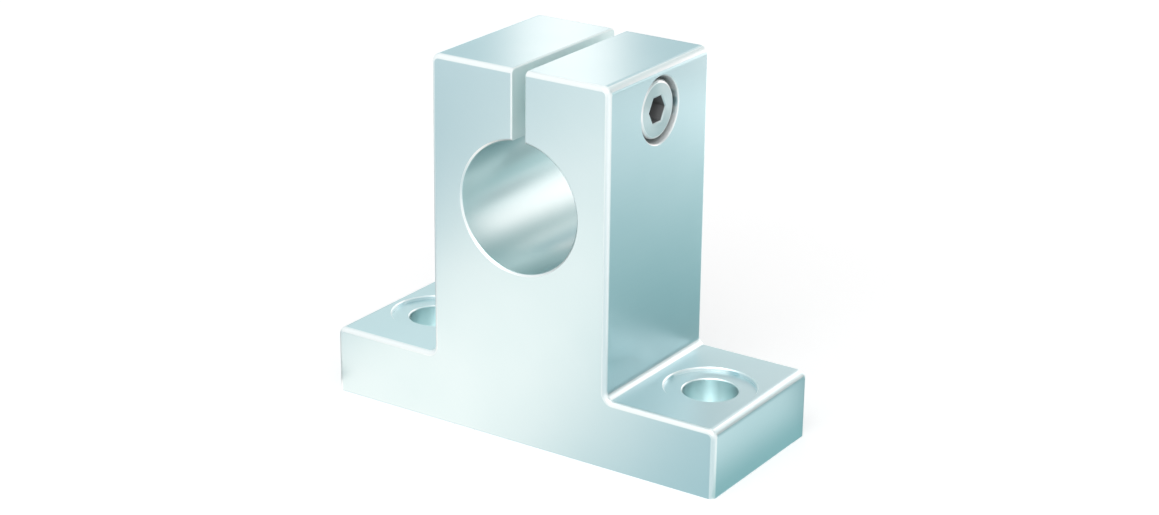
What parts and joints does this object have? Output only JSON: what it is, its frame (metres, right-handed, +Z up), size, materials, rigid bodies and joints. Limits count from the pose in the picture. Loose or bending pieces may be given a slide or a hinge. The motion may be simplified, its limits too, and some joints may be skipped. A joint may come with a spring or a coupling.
{
  "type": "shaft support block",
  "caption": "T-shaped aluminium block that clamps a round shaft in a split bore with a recessed socket head screw, with a spot-faced mounting hole in each foot.",
  "frame": {"origin": "middle of the block on its mounting face, straight below the shaft's axis", "axes": "+X along the foot towards the clamp screw's head, +Y along the shaft from front to back, +Z up from the mounting face"},
  "size_m": [0.054, 0.0216, 0.046],
  "materials": {
    "block_aluminium": "satin machined, pale blue-green, bright rounded edges",
    "screw_steel": "turned bright steel"
  },
  "bodies": {
    "block": {"support_block": "block_aluminium"},
    "screw": {"clamp_screw": "screw_steel"}
  },
  "joints": [
    {"name": "clamp_screw_turn", "type": "hinge", "parent": "block", "child": "screw", "pos_m": [0.0079, 0, 0.0408], "axis": [1, 0, 0], "range_deg": [0, 360]}
  ]
}
